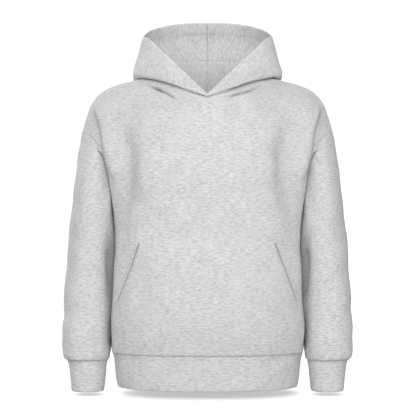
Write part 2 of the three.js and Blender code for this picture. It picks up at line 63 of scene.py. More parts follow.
# reads a named column of a table anywhere between its rows, along a smooth curve
def read(table, name, at):
    at = np.asarray(at, float)
    place, values = next(iter(table.values())), table[name]
    slope = np.empty(len(place))
    slope[1:-1] = (values[2:] - values[:-2]) / (place[2:] - place[:-2])
    slope[0] = (values[1] - values[0]) / (place[1] - place[0])
    slope[-1] = (values[-1] - values[-2]) / (place[-1] - place[-2])
    i = np.clip(np.searchsorted(place, at, side="right") - 1, 0, len(place) - 2)
    span = place[i + 1] - place[i]
    t = np.clip((at - place[i]) / span, 0, 1)
    return (values[i] * (2 * t**3 - 3 * t**2 + 1) + values[i + 1] * (3 * t**2 - 2 * t**3)
            + span * (slope[i] * (t**3 - 2 * t**2 + t) + slope[i + 1] * (t**3 - t**2)))


def readAll(table, at):
    return {name: read(table, name, at) for name in list(table)[1:]}


def readPoint(table, at):
    return np.stack([read(table, name, at) for name in "xyz"], -1)


# shares from 0 to 1, with the steps next to a seam or a turned edge much finer than the rest
edgeSteps = (0.2, 0.25, 0.35, 0.5, 0.7, 0.85)


def spacing(count, fineStart=False, fineEnd=False, fine=edgeSteps):
    steps = np.ones(count)
    if fineStart:
        steps[:len(fine)] = fine
    if fineEnd:
        steps[-len(fine):] = fine[::-1]
    return np.concatenate([[0], np.cumsum(steps)]) / steps.sum()


# soft uneven slack, from about -1 to 1, over a flat place u, v
def slack(u, v, length, seed, count=9):
    rng = np.random.default_rng(seed)
    total = np.zeros(np.broadcast(u, v).shape)
    for _ in range(count):
        angle = rng.uniform(0, 2 * math.pi)
        size = length * rng.uniform(0.7, 1.5)
        phase = rng.uniform(0, 2 * math.pi)
        total += np.sin(2 * math.pi * (u * math.cos(angle) + v * math.sin(angle)) / size + phase)
    return total / math.sqrt(count * 2)


# outward directions of a grid whose rows run up and whose columns run to the right, seen from outside
def directions(grid):
    return unit(np.cross(np.gradient(grid, axis=1), np.gradient(grid, axis=0)))


def lengthUp(grid):
    steps = np.linalg.norm(np.diff(grid, axis=0), axis=-1)
    return np.concatenate([np.zeros((1, grid.shape[1])), np.cumsum(steps, 0)])


def lengthAcross(grid):
    return lengthUp(grid.swapaxes(0, 1)).swapaxes(0, 1)


# distances along the cloth from the bottom, the top, the left and the right edge
def fromEdges(grid):
    return (lengthUp(grid), lengthUp(grid[::-1])[::-1],
            lengthAcross(grid), lengthAcross(grid[:, ::-1])[:, ::-1])


def fromMiddle(around):
    return around - around[:, around.shape[1] // 2][:, None]


def mirrored(grid):
    return (grid * (-1, 1, 1))[:, ::-1]


# the body's form, the same as the solids'
body = {
    "hemSeamLevel": -577, "underarmLevel": -250, "lowerShare": 0.6, "neckShare": 0.257,
    "squareness": 2.4, "armSquareness": 2.2, "armLeanDepth": 22, "armLeanSpread": 48,
    "armLeanFrom": 0.3, "cloth": 2.2, "neckColumns": 44, "shoulderColumns": 72, "lowerRows": 92,
    "upperRows": 78,
}
torsoSections = makeTable(
    "level halfWidth front back armDent",
    (-577, 202, 126, 112, 4),
    (-540, 206, 130, 115, 12),
    (-500, 207, 132, 117, 18),
    (-440, 202, 133, 117, 20),
    (-375, 201, 134, 116, 21),
    (-326, 203, 135, 117, 21),
    (-250, 208, 136, 119, 18),
)
neckline = makeTable(
    "turn x y z",
    (0, 0, -98, -53),
    (0.12, 24, -94, -47),
    (0.25, 50, -77, -35.5),
    (0.38, 75, -44, -13),
    (0.5, 90, -2, 6),
    (0.62, 86, 34, 0),
    (0.75, 66, 59, -14),
    (0.88, 36, 72, -25),
    (1, 0, 76, -30),
)
shoulderSeam = makeTable(
    "run x y z",
    (0, 90, -2, 6),
    (0.16, 120, 3, -2),
    (0.33, 152, 7, -10),
    (0.5, 189, 10, -19),
    (0.64, 220, 12, -32.5),
    (0.78, 243, 13, -57),
    (0.89, 256, 13, -91),
    (1, 266, 12, -126),
)
yokeColumns = "across lowOut lowLead lowRise topIn topLead topFall"
frontYoke = makeTable(
    yokeColumns,
    (0, 0, 10, 85, 0, 20, 32),
    (0.13, 0, 10, 85, 0, 32, 32),
    (0.193, 0, 10, 88, 0, 57, 34),
    (0.257, 0, 10, 90, 0, 96, 36),
    (0.5, 1, 11, 90, 0, 76, 30),
    (0.7, 3, 15, 72, 0, 66, 27),
    (0.85, 6, 26, 60, 4, 58, 26),
    (1, 6, 62, 58, 27, 74, -14),
)
backYoke = makeTable(
    yokeColumns,
    (0, 0, 6, 90, 0, 24, 36),
    (0.13, 0, 6, 90, 0, 30, 34),
    (0.193, 0, 6, 93, 0, 58, 31),
    (0.257, 0, 6, 95, 0, 98, 28),
    (0.5, 1, 12, 95, 0, 73, 24),
    (0.7, 3, 20, 80, 0, 64, 24),
    (0.85, 6, 36, 66, 4, 60, 26),
    (1, 6, 74, 50, 24, 70, -8),
)


# a point of a rounded-square ring: angle 0 is the +X side, a quarter turn is the front
def ringPoint(angle, halfWidth, front, back, squareness):
    power = 2 / squareness
    c, s = np.cos(angle), np.sin(angle)
    depth = np.where(s > 0, front, back)
    return np.sign(c) * np.abs(c) ** power * halfWidth, -np.sign(s) * np.abs(s) ** power * depth


def torsoPoint(face, across, level):
    across, level = np.broadcast_arrays(np.asarray(across, float), np.asarray(level, float))
    angle = np.pi / 2 * (1 - np.abs(across)) * (1 if face < 0 else -1)
    ring = readAll(torsoSections, level)
    x, y = ringPoint(angle, ring["halfWidth"], ring["front"], ring["back"], body["squareness"])
    lean = bell(y - body["armLeanDepth"], body["armLeanSpread"])
    dent = ring["armDent"] * lean * smooth(body["armLeanFrom"], 1, np.abs(across))
    return np.stack([np.sign(across) * (x - dent), y, level], -1)


def topEdge(face, across):
    across = np.asarray(across, float)
    reach = np.abs(across)
    turn = 0.5 * reach / body["neckShare"]
    onNeck = readPoint(neckline, np.clip(turn if face < 0 else 1 - turn, 0, 1))
    run = (reach - body["neckShare"]) / (1 - body["neckShare"])
    onShoulder = readPoint(shoulderSeam, np.clip(run, 0, 1))
    point = np.where((reach < body["neckShare"])[..., None], onNeck, onShoulder)
    point[..., 0] *= np.where(across < 0, -1, 1)
    return point


# a point of the front (face -1) or back (face 1) panel, up from 0 at the hem seam to 1 at its top edge
def panelPoint(face, across, up):
    across, up = np.broadcast_arrays(np.asarray(across, float), np.asarray(up, float))
    share = body["lowerShare"]
    level = mix(body["hemSeamLevel"], body["underarmLevel"], np.clip(up / share, 0, 1))
    lower = torsoPoint(face, across, level)
    yoke = frontYoke if face < 0 else backYoke
    side = np.where(across < 0, -1, 1)
    get = readAll(yoke, np.abs(across))
    low = torsoPoint(face, across, body["underarmLevel"])
    top = topEdge(face, across)
    lowHandle = low + np.stack([side * get["lowOut"], face * get["lowLead"], get["lowRise"]], -1)
    topHandle = top + np.stack([-side * get["topIn"], face * get["topLead"], -get["topFall"]], -1)
    t = np.clip((up - share) / (1 - share), 0, 1)[..., None]
    u = 1 - t
    upper = u**3 * low + 3 * u * u * t * lowHandle + 3 * u * t * t * topHandle + t**3 * top
    return np.where((up <= share)[..., None], lower, upper)


# a panel's lengthwise lines part where the neckline meets the shoulder; the cloth between them is even
neckEase = {"passes": 90, "step": 0.5, "reach": 0.13, "rows": 0.05, "startRows": (0.5, 0.62)}


def evenOut(grid, across, up):
    e = neckEase
    near = 1 - smooth(0.5 * e["reach"], e["reach"], np.abs(np.abs(across) - body["neckShare"]))
    hold = near[None, :] * smooth(0, e["rows"], 1 - up)[:, None] * smooth(*e["startRows"], up)[:, None]
    grid = grid.copy()
    arc = lengthAcross(grid)
    for _ in range(e["passes"]):
        before, after = grid[:, :-2], grid[:, 2:]
        gapBefore = (arc[:, 1:-1] - arc[:, :-2])[..., None]
        gapAfter = (arc[:, 2:] - arc[:, 1:-1])[..., None]
        even = (before * gapAfter + after * gapBefore) / (gapBefore + gapAfter)
        grid[:, 1:-1] += e["step"] * hold[:, 1:-1, None] * (even - grid[:, 1:-1])
    return grid


# a sewn edge sinks into its seam and stands up a little over the turned-in cloth beside it; the seams
# of the bands are flatter, and the cloth beside them is painted paler: painted light against the seam line's
# shade
seamLook = {
    "sink": 0.5, "sinkWidth": 0.9, "ridge": 0.4, "ridgeAt": 5.5, "ridgeWidth": 3.0, "pucker": 0.35,
    "puckerFrom": 3, "puckerReach": 9, "puckerLength": 13, "puckerLean": 0.35, "bands": 0.3,
    "worn": 0.9, "wornWidth": 5,
}
# in front of the arm the chest stands out in a step over the cloth beside it, along a line from the shoulder
# that lower down runs in the armhole seam
armCrease = {
    "chest": 6.5, "arm": 10, "soft": 3, "chestReach": 30, "armReach": 15, "ontoSeam": (0.45, 0.6),
    "seamShare": 0.4, "fadeIn": (0, 0.2), "fadeOut": (0.85, 1), "shade": 5.5, "shadeReach": 6,
    "shadeEdge": 1.5, "shadeLoss": 0.7, "clearOfShoulder": 34, "pieces": 24,
}
armCreaseLine = makeTable(
    "along x z",
    (0, 240, -58),
    (0.2, 231, -90),
    (0.4, 221, -122),
    (0.52, 216.5, -150),
    (0.65, 210.5, -177),
    (0.78, 204, -195),
    (0.9, 197.6, -213.5),
    (1, 192.8, -232),
)


# distance of each x, z from a line of points, how far along it lies, and on which side
def distanceToLine(line, x, z):
    best, along, side = np.full(x.shape, 1e9), np.zeros(x.shape), np.zeros(x.shape)
    for i, (start, end) in enumerate(zip(line[:-1], line[1:])):
        dx, dz = end - start
        k = np.clip(((x - start[0]) * dx + (z - start[1]) * dz) / (dx * dx + dz * dz), 0, 1)
        toX, toZ = x - start[0] - k * dx, z - start[1] - k * dz
        distance = np.hypot(toX, toZ)
        nearer = distance < best
        best = np.where(nearer, distance, best)
        along = np.where(nearer, (i + k) / (len(line) - 1), along)
        side = np.where(nearer, np.sign(dx * toZ - dz * toX), side)
    return best, along, side


# each fold is a curve through three places of a flat view, with its depth and softness; over 0 is a ridge
foldColumns = ("x0", "z0", "x1", "z1", "x2", "z2", "depth", "width")
foldPieces = 16
foldEnd = 0.04
foldFade = 0.7


def foldDepth(folds, x, z):
    total = np.zeros(x.shape)
    t = np.linspace(0, 1, foldPieces + 1)
    for row in folds:
        f = dict(zip(foldColumns, row))
        line = []
        for axis in "xz":
            start, middle, end = f[axis + "0"], f[axis + "1"], f[axis + "2"]
            handle = 2 * middle - (start + end) / 2
            line.append((1 - t) ** 2 * start + 2 * t * (1 - t) * handle + t * t * end)
        distance, along, _ = distanceToLine(np.stack(line, -1), x, z)
        fade = np.sin(np.pi * np.clip(along, foldEnd, 1 - foldEnd)) ** foldFade
        total += f["depth"] * bell(distance, f["width"]) * fade
    return total


def creaseRelief(point, fromShoulder):
    c = armCrease
    at = np.linspace(0, 1, c["pieces"] + 1)
    line = np.stack([read(armCreaseLine, "x", at), read(armCreaseLine, "z", at)], -1)
    distance, along, side = distanceToLine(line, np.abs(point[..., 0]), point[..., 2])
    onSeam = smooth(*c["ontoSeam"], along)
    chest = c["chest"] * np.exp(-distance / c["chestReach"])
    arm = -c["arm"] * np.exp(-distance / c["armReach"]) * mix(1, c["seamShare"], onSeam)
    height = np.where(side < 0, chest, arm)
    window = smooth(*c["fadeIn"], along) * (1 - smooth(*c["fadeOut"], along))
    window = window * smooth(0, c["clearOfShoulder"], fromShoulder)
    shade = np.where(side < 0, bell(distance, c["shadeEdge"]), np.exp(-distance / c["shadeReach"]))
    shade = c["shade"] * shade * window * (1 - c["shadeLoss"] * onSeam)
    return height * (1 - np.exp(-distance / c["soft"])) * window, shade


# between the sleeve and the body little light gets in
armGap = {
    "shade": 4.4, "from": (187, 197), "to": (202, 219), "top": (-300, -390), "bottom": (-584, -552),
    "front": (30, 0),
}


def gapShade(point):
    g = armGap
    x, z = np.abs(point[..., 0]), point[..., 2]
    between = smooth(*g["from"], x) * (1 - smooth(*g["to"], x))
    level = smooth(*g["top"], z) * smooth(*g["bottom"], z)
    return g["shade"] * between * level * smooth(*g["front"], point[..., 1])


seamWaves = 7


def seamRelief(distance, along, seed, scale=1.0):
    s = seamLook
    puckers = slack(along, distance * s["puckerLean"], s["puckerLength"], seed, seamWaves)
    puckers = puckers * bell(distance - s["ridgeAt"], s["puckerReach"]) * smooth(0, s["puckerFrom"], distance)
    return scale * (s["ridge"] * bell(distance - s["ridgeAt"], s["ridgeWidth"])
                    - s["sink"] * bell(distance, s["sinkWidth"]) + s["pucker"] * puckers)


# small gathers beside a seam, running straight away from it
def gathers(look, u, distance, seed):
    waves = slack(u, 0 * u, look["gatherLength"], seed, seamWaves) * smooth(0, look["gatherFrom"], distance)
    return look["gather"] * waves * bell(distance - look["gatherAt"], look["gatherReach"])


# painted light beside the seams of the bands: the cloth there is painted paler to offset the shade of the
# seam line
def wornSeam(distance):
    return seamLook["worn"] * bell(distance, seamLook["wornWidth"])


# pieces that meet at the same points turn in along one shared direction, so no crack opens at the seam; it
# leaves out cloth that faces the other way
directionsAt = {}
facing = (-0.3, 0.3)


def edgeIndex(shape):
    mask = np.zeros(shape, bool)
    mask[[0, -1], :] = True
    mask[:, [0, -1]] = True
    return np.argwhere(mask)


def pointKey(p, samePlace=0.01):
    return tuple(np.round(p / samePlace).astype(int))


def noteDirections(piece):
    piece["out"] = directions(piece["grid"])
    for r, c in edgeIndex(piece["grid"].shape[:2]):
        directionsAt.setdefault(pointKey(piece["grid"][r, c]), []).append(piece["out"][r, c])


def shareDirections(piece):
    out = piece["out"].copy()
    for r, c in edgeIndex(piece["grid"].shape[:2]):
        own = piece["out"][r, c]
        total = np.zeros(3)
        for other in directionsAt[pointKey(piece["grid"][r, c])]:
            total += other * smooth(*facing, own @ other)
        out[r, c] = total / np.linalg.norm(total)
    piece["shared"] = out


endRings, sideRings = 4, 3


# the rounded edge between an outer line of points and an inner one
def roundedEdge(outer, inner, outward, count):
    middle, half = (outer + inner) / 2, (outer - inner) / 2
    radius = np.linalg.norm(half, axis=-1, keepdims=True)
    angles = np.linspace(0, np.pi, count + 2)[1:-1]
    return [middle + half * math.cos(a) + outward * radius * math.sin(a) for a in angles]


def meshObject(name, points, faces, materials, millimetre=0.001):
    mesh = bpy.data.meshes.new(name)
    mesh.from_pydata((np.asarray(points) * millimetre).tolist(), [], faces)
    for material in materials:
        mesh.materials.append(material)
    obj = bpy.data.objects.new(name, mesh)
    bpy.context.collection.objects.link(obj)
    return obj


# a closed wall of cloth from its outer and inner grids. rounded names the edges that are turned or folded;
# each point carries its place in the flat cloth, which the knit follows, and its tone: over 0 paler, where
# turned edges are worn and, beside the seams of the bands, with painted light; under 0 darker, with painted
# shade
def clothObject(name, outer, inner, grainAndPaintedShade, materials, rounded):
    rows, cols = outer.shape[:2]
    edge = {"top": unit(outer[-1] - outer[-2]), "bottom": unit(outer[0] - outer[1])}
    capTop = roundedEdge(outer[-1], inner[-1], edge["top"], endRings) if "top" in rounded else []
    capBottom = roundedEdge(inner[0], outer[0], edge["bottom"], endRings) if "bottom" in rounded else []
    loop = np.array([*outer, *capTop, *inner[::-1], *capBottom])
    loopGrainAndPaintedShade = np.array([*grainAndPaintedShade, *[grainAndPaintedShade[-1]] * len(capTop), *grainAndPaintedShade[::-1], *[grainAndPaintedShade[0]] * len(capBottom)])
    side = np.array([0] * rows + [0] * len(capTop) + [1] * (rows - 1) + [0] * (len(capBottom) + 1))
    count = len(loop)
    index = np.arange(count * cols).reshape(count, cols)
    above = np.roll(index, -1, 0)
    faces = np.stack([index[:, :-1], index[:, 1:], above[:, 1:], above[:, :-1]], -1).reshape(-1, 4).tolist()
    faceSide = np.repeat(side, cols - 1).tolist()
    points, grainsAndPaintedShade = [loop.reshape(-1, 3)], [loopGrainAndPaintedShade.reshape(-1, 3)]
    nextIndex = count * cols
    innerStart = rows + len(capTop)
    for c, beside in ((0, 1), (cols - 1, cols - 2)):
        first = c == 0
        strips = [index[:rows, c]]
        if ("left" if first else "right") in rounded:
            outward = unit(outer[:, c] - outer[:, beside])
            for ring in roundedEdge(outer[:, c], inner[:, c], outward, sideRings):
                points.append(ring)
                grainsAndPaintedShade.append(grainAndPaintedShade[:, c])
                strips.append(np.arange(nextIndex, nextIndex + rows))
                nextIndex += rows
        strips.append(index[innerStart:innerStart + rows, c][::-1])
        for a, b in zip(strips[:-1], strips[1:]):
            quads = np.stack([a[:-1], a[1:], b[1:], b[:-1]], -1)
            faces += (quads if first else quads[:, ::-1]).tolist()
        faceSide += [0] * ((rows - 1) * (len(strips) - 1))
        topRing = [int(s[-1]) for s in strips] + index[rows:innerStart, c][::-1].tolist()
        bottomRing = [int(s[0]) for s in strips] + index[innerStart + rows:, c].tolist()
        for ring, turned in ((topRing, not first), (bottomRing, first)):
            if len(ring) > 2:
                faces.append(ring[::-1] if turned else ring)
                faceSide.append(0)
    obj = meshObject(name, np.concatenate(points), faces, materials)
    attribute = obj.data.attributes.new("grainAndPaintedShade", "FLOAT_VECTOR", "POINT")
    flatPlace = np.concatenate(grainsAndPaintedShade) * (0.001, 0.001, 1)
    attribute.data.foreach_set("vector", flatPlace.astype(np.float32).ravel())
    if len(materials) > 1:
        obj.data.polygons.foreach_set("material_index", faceSide)
    obj.data.shade_smooth()
    obj.data.update()
    return obj


# sewing thread: one stitch is a short bead, pulled down into the cloth at both ends
thread = {"length": 2.8, "gap": 0.8, "thick": 0.55, "proud": 0.1, "pullDown": 0.34, "wander": 0.1,
          "tip": 0.05, "sides": 6, "rings": 5}


def stitchRow(store, line, out, seed):
    rng = np.random.default_rng(seed)
    t = thread
    length = lengthUp(line[:, None])[:, 0]
    count = max(int(length[-1] / (t["length"] + t["gap"])), 2)
    at = (np.arange(count) + 0.5) / count * length[-1]

    def pick(values, place):
        return np.stack([np.interp(place, length, values[:, k]) for k in range(3)], 1)

    centre, out = pick(line, at), unit(pick(out, at))
    along = unit(pick(line, at + 0.5) - pick(line, at - 0.5))
    side = unit(np.cross(out, along))
    out = np.cross(along, side)
    centre = centre + side * rng.normal(0, t["wander"], (count, 1))
    rings = []
    for ring in np.linspace(-1, 1, t["rings"]):
        radius = t["thick"] / 2 * math.sqrt(max(1 - abs(ring) ** 3, t["tip"]))
        middle = centre + along * (ring * t["length"] / 2) + out * (t["proud"] - t["pullDown"] * ring * ring)
        for k in range(t["sides"]):
            a = 2 * math.pi * k / t["sides"]
            rings.append(middle + side * (radius * math.cos(a)) + out * (radius * math.sin(a)))
    points = np.stack(rings, 1)
    per = points.shape[1]
    n = t["sides"]
    faces = [(r * n + k, (r + 1) * n + k, (r + 1) * n + (k + 1) % n, r * n + (k + 1) % n)
             for r in range(t["rings"] - 1) for k in range(n)]
    faces += [tuple(range(n)), tuple(range(per - 1, per - n - 1, -1))]
    base = sum(len(p) for p in store["points"])
    for i in range(count):
        store["faces"] += [tuple(j + base + i * per for j in f) for f in faces]
    store["points"].append(points.reshape(-1, 3))


# the line on a grid at one distance from an edge, and the cloth's directions along it
def lineAt(grid, edge, distance, start=0.0, end=1.0):
    out = directions(grid)
    if edge in ("left", "right"):
        grid, out = grid.swapaxes(0, 1), out.swapaxes(0, 1)
    if edge in ("top", "right"):
        grid, out = grid[::-1], out[::-1]
    length = lengthUp(grid)
    line, normals = [], []
    last = grid.shape[1] - 1
    for c in range(round(start * last), round(end * last) + 1):
        i = int(np.clip(np.searchsorted(length[:, c], distance), 1, len(grid) - 1))
        share = (distance - length[i - 1, c]) / max(length[i, c] - length[i - 1, c], 1e-9)
        line.append(mix(grid[i - 1, c], grid[i, c], share))
        normals.append(mix(out[i - 1, c], out[i, c], share))
    return np.array(line), np.array(normals)


# materials
def linearColour(text):
    parts = [int(text[i:i + 2], 16) / 255 for i in (1, 3, 5)]
    return tuple(c / 12.92 if c <= 0.04045 else ((c + 0.055) / 1.055) ** 2.4 for c in parts) + (1.0,)


# adds a shader node with its settings, sets its inputs or links them, and gives its outputs
def addNode(tree, kind, inputs=(), **settings):
    node = tree.nodes.new("ShaderNode" + kind)
    for name, value in settings.items():
        setattr(node, name, value)
    for name, value in dict(inputs).items():
        if isinstance(value, bpy.types.NodeSocket):
            tree.links.new(value, node.inputs[name])
        else:
            node.inputs[name].default_value = value
    return node.outputs


def newMaterial(name):
    material = bpy.data.materials.new(name)
    material.use_nodes = True
    tree = material.node_tree
    tree.nodes.clear()
    return material, tree


def endMaterial(tree, inputs):
    shader = addNode(tree, "BsdfPrincipled", inputs)
    addNode(tree, "OutputMaterial", {"Surface": shader[0]})


bandPerMetre = 0.314  # a wave texture of this scale has one band in a metre

# Cotton and polyester fleece, knitted from yarns of dyed and undyed fibre: short streaks along the courses,
# a matt face with a faint halo of fibres. Wales are about 0.9 mm, drawn at 1.9 mm so that they show at all.
marl = {
    "light": "#dadada",
    "mid": "#acacae",
    "dark": "#7c7c80",
    "warm": "#bdb2aa",
    "streak": (0.0110, 0.0026), "wale": 0.0019, "courseShare": 1.3, "mottleScale": 28.0,
    "mottleFrom": (0.3, 0.7), "mottle": (0.95, 1.04), "tone": 0.07, "fibreScale": 900.0,
    "bump": 0.00035, "bumpStrength": 0.8, "roughness": 0.92, "specular": 0.25, "sheen": 0.4,
    "sheenRoughness": 0.5,
    # each kind of fibre: its colour, size, how rare it is, its soft edge, strength and shift
    "streaks": [
        ("mid", 1.0, 0.5, 0.14, 0.5, 0.0),
        ("dark", 0.8, 0.60, 0.08, 0.34, 7.3),
        ("warm", 1.2, 0.66, 0.06, 0.3, 3.1),
    ],
}


def marlMaterial(name, look):
    material, tree = newMaterial(name)
    grainAndPaintedShade = addNode(tree, "Attribute", attribute_name="grainAndPaintedShade")["Vector"]
    parts = addNode(tree, "SeparateXYZ", {0: grainAndPaintedShade})
    flat = addNode(tree, "CombineXYZ", {0: parts[0], 1: parts[1]})[0]
    width, height = look["streak"]
    colour = linearColour(look["light"])
    for shade, size, threshold, softness, strength, offset in look["streaks"]:
        across, up = 1 / (width * size), 1 / (height * size)
        placed = addNode(tree, "VectorMath", {0: flat, 1: (across, up, 1), 2: (offset, offset * 2, offset)},
                         operation="MULTIPLY_ADD")
        noise = addNode(tree, "TexNoise", {"Vector": placed[0], "Scale": 1.0, "Detail": 2.0,
                                           "Roughness": 0.6}, noise_dimensions="3D")
        amount = addNode(tree, "MapRange", {"Value": noise["Fac"], "From Min": threshold - softness,
                                            "From Max": threshold + softness, "To Min": 0.0,
                                            "To Max": strength}, interpolation_type="SMOOTHSTEP")
        mixed = addNode(tree, "Mix", {0: amount[0], 6: colour, 7: linearColour(look[shade])},
                        data_type="RGBA")
        colour = mixed[2]
    mottle = addNode(tree, "TexNoise", {"Vector": flat, "Scale": look["mottleScale"], "Detail": 3.0})
    (low, high), (least, most) = look["mottleFrom"], look["mottle"]
    lift = addNode(tree, "MapRange", {"Value": mottle["Fac"], "From Min": low, "From Max": high,
                                      "To Min": least, "To Max": most})
    # the colour is scaled by each point's tone: paler where the cloth is worn, paler with painted light
    # beside the band seams, darker with painted shade
    worn = addNode(tree, "Math", {0: parts[2], 1: look["tone"], 2: lift[0]},
                   operation="MULTIPLY_ADD")
    shaded = addNode(tree, "VectorMath", {0: colour, "Scale": worn[0]}, operation="SCALE")
    loops = bandPerMetre / look["wale"]
    wales = addNode(tree, "TexWave", {"Vector": flat, "Scale": loops, "Distortion": 0.6, "Detail": 2.0,
                                      "Detail Scale": 2.0}, wave_type="BANDS", bands_direction="X")
    courses = addNode(tree, "TexWave", {"Vector": flat, "Scale": loops * look["courseShare"],
                                        "Distortion": 0.8, "Detail": 1.0},
                      wave_type="BANDS", bands_direction="Y")
    fibres = addNode(tree, "TexNoise", {"Vector": flat, "Scale": look["fibreScale"], "Detail": 2.0})
    knit = addNode(tree, "Math", {0: wales["Fac"], 1: courses["Fac"], 2: fibres["Fac"]},
                   operation="MULTIPLY_ADD")
    bump = addNode(tree, "Bump", {"Strength": look["bumpStrength"], "Distance": look["bump"],
                                  "Height": knit[0]})
    endMaterial(tree, {"Base Color": shaded[0], "Roughness": look["roughness"],
                       "Specular IOR Level": look["specular"], "Sheen Weight": look["sheen"],
                       "Sheen Roughness": look["sheenRoughness"], "Normal": bump[0]})
    return material


bodyFleece = marlMaterial("marl sweatshirt fleece, knitted", marl)
hoodFleece = marlMaterial("marl hood fleece, knitted", {**marl, "light": "#dcdcdc"})
bandFleece = marlMaterial("marl band fleece, folded double", {**marl, "light": "#d8d8d8"})
# the inner face is brushed: its loops are raised to a nap that blurs the streaks and takes the light softly
brushed = {**marl, "streak": (0.011, 0.004), "bump": 0.0006, "sheen": 0.5, "roughness": 0.97,
           "mid": "#b4b4b6", "dark": "#98989b"}
brushedFleece = marlMaterial("marl fleece, brushed inside", brushed)


# Spun polyester sewing thread, twisted from two plies: a slight gloss broken up by the twist.
sewingThread = {"colour": "#cfcfd3", "shade": "#b2b2b8", "ply": 0.0009, "bump": 0.00015, "roughness": 0.62,
                "sheen": 0.2}


def threadMaterial():
    material, tree = newMaterial("polyester sewing thread, spun")
    place = addNode(tree, "TexCoord")["Object"]
    twist = addNode(tree, "TexWave", {"Vector": place, "Scale": bandPerMetre / sewingThread["ply"],
                                      "Distortion": 1.0}, wave_type="BANDS", bands_direction="DIAGONAL")
    shade, colour = linearColour(sewingThread["shade"]), linearColour(sewingThread["colour"])
    mixed = addNode(tree, "Mix", {0: twist["Fac"], 6: shade, 7: colour}, data_type="RGBA")
    bump = addNode(tree, "Bump", {"Distance": sewingThread["bump"], "Height": twist["Fac"]})
    endMaterial(tree, {"Base Color": mixed[2], "Roughness": sewingThread["roughness"],
                       "Sheen Weight": sewingThread["sheen"], "Normal": bump[0]})
    return material


spunThread = threadMaterial()
print("materials made")

# where the rows and columns of the pieces fall; pieces sewn together share the points of their seam
lowerRows = spacing(body["lowerRows"], fineStart=True) * body["lowerShare"]
upperShares = spacing(body["upperRows"], fineEnd=True)
panelRows = np.concatenate([lowerRows, mix(body["lowerShare"], 1, upperShares[1:])])
neckShares = spacing(body["neckColumns"], fineStart=True)
shoulderShares = spacing(body["shoulderColumns"], fineEnd=True)
halfAcross = np.concatenate([neckShares * body["neckShare"], mix(body["neckShare"], 1, shoulderShares[1:])])
panelAcross = np.concatenate([-halfAcross[:0:-1], halfAcross])


# a piece's grid, its relief, its points' place in the flat cloth and their tone (wear, painted light and
# painted shade), and its thickness
def formOf(grid, relief, u, v, tone, thickness=body["cloth"]):
    return {"grid": grid, "relief": relief, "grainAndPaintedShade": np.stack([u, v, tone], -1), "thickness": thickness}


# Front and back panels. The drag lines from the shoulders to the sides come first, then the lighter ones.
frontPanel = {
    "folds": [
        (-190, -100, -171, -211, -194, -356, -15, 26),
        (186, -108, 162, -200, 192, -356, -13, 25),
        (-207, -125, -198, -205, -201, -300, 4, 12),
        (207, -125, 197, -205, 200, -300, 4, 12),
    ],
    # sharp small tucks where the hood's weight drags on the neckline
    "tucks": [
        (-127, -22, -99, -34, -66, -55, -4.6, 2.6),
        (-114, -28, -102, -33, -90, -41, -4.2, 3.0),
        (-92, -34, -78, -47, -64, -58, -2.4, 2.2),
        (48, -50.5, 74, -41, 110, -27, -4.6, 2.4),
        (47, -51, 56, -47, 70, -42.5, -3.2, 2.2),
        (72, -47, 84, -39, 98, -30, -2.0, 2.2),
    ],
    "tuckShade": 1.5, "tuckFrom": 4,
    # the front stays nearly flat up to the sides, then turns over a rounded corner
    "corner": 4, "cornerAt": 72, "cornerWidth": 24, "cornerStart": (0.03, 0.12),
    "cornerEnd": (0.62, 0.74),
    "fineFolds": [
        (-182, -98, -163, -204, -184, -322, -3.6, 15),
        (176, -104, 153, -196, 182, -322, -3.0, 16),
        (-100, -38, -78, -54, -52, -64, 2.0, 6),
        (46, -60, 66, -50, 90, -40, 2.0, 6),
        (-170, -120, -158, -160, -146, -178, -2.0, 13),
        (158, -128, 148, -165, 134, -180, -2.0, 13),
        (-178, -250, -160, -300, -176, -352, 2.0, 15),
        (176, -250, 160, -305, 174, -360, 1.8, 15),
        (-120, -330, -40, -344, 60, -336, -1.2, 26),
        (-70, -420, 0, -452, 96, -436, -1.0, 30),
    ],
    "foldShade": 0.07, "foldShadeFrom": 20, "slack": 0.9, "slackLength": 95, "seed": 11,
}
backPanel = {
    "folds": [
        (-184, -110, -146, -226, -172, -380, -11, 24),
        (176, -104, 150, -214, 180, -350, -10, 23),
        (-92, -290, -70, -410, -96, -540, -7, 26),
        (62, -320, 80, -430, 70, -560, -6, 25),
    ],
    "fineFolds": [
        (-160, -150, -80, -196, -10, -182, -3.6, 17),
        (20, -214, 90, -190, 150, -150, -3.2, 17),
        (-150, -420, -60, -444, 40, -425, -2.6, 20),
        (30, -500, 100, -480, 160, -440, -2.4, 20),
    ],
    "foldShade": 0.04, "foldShadeFrom": 20, "slack": 1.0, "slackLength": 95, "seed": 12,
}


# folds and slack of a panel, which its seams hold flat over these shares of its height and half width
panelHold = {"wide": (0.08, 0.22), "fine": (0.03, 0.08)}


def panelRelief(face, across, up, point):
    look = frontPanel if face < 0 else backPanel
    x, z = point[..., 0], point[..., 2]
    hold, fineHold = (smooth(0, rows, np.minimum(up, 1 - up)) * smooth(0, side, 1 - np.abs(across))
                      for rows, side in panelHold.values())
    return (foldDepth(look["folds"], x, z) * hold + foldDepth(look["fineFolds"], x, z) * fineHold
            + look["slack"] * slack(x, z, look["slackLength"], look["seed"]) * hold)


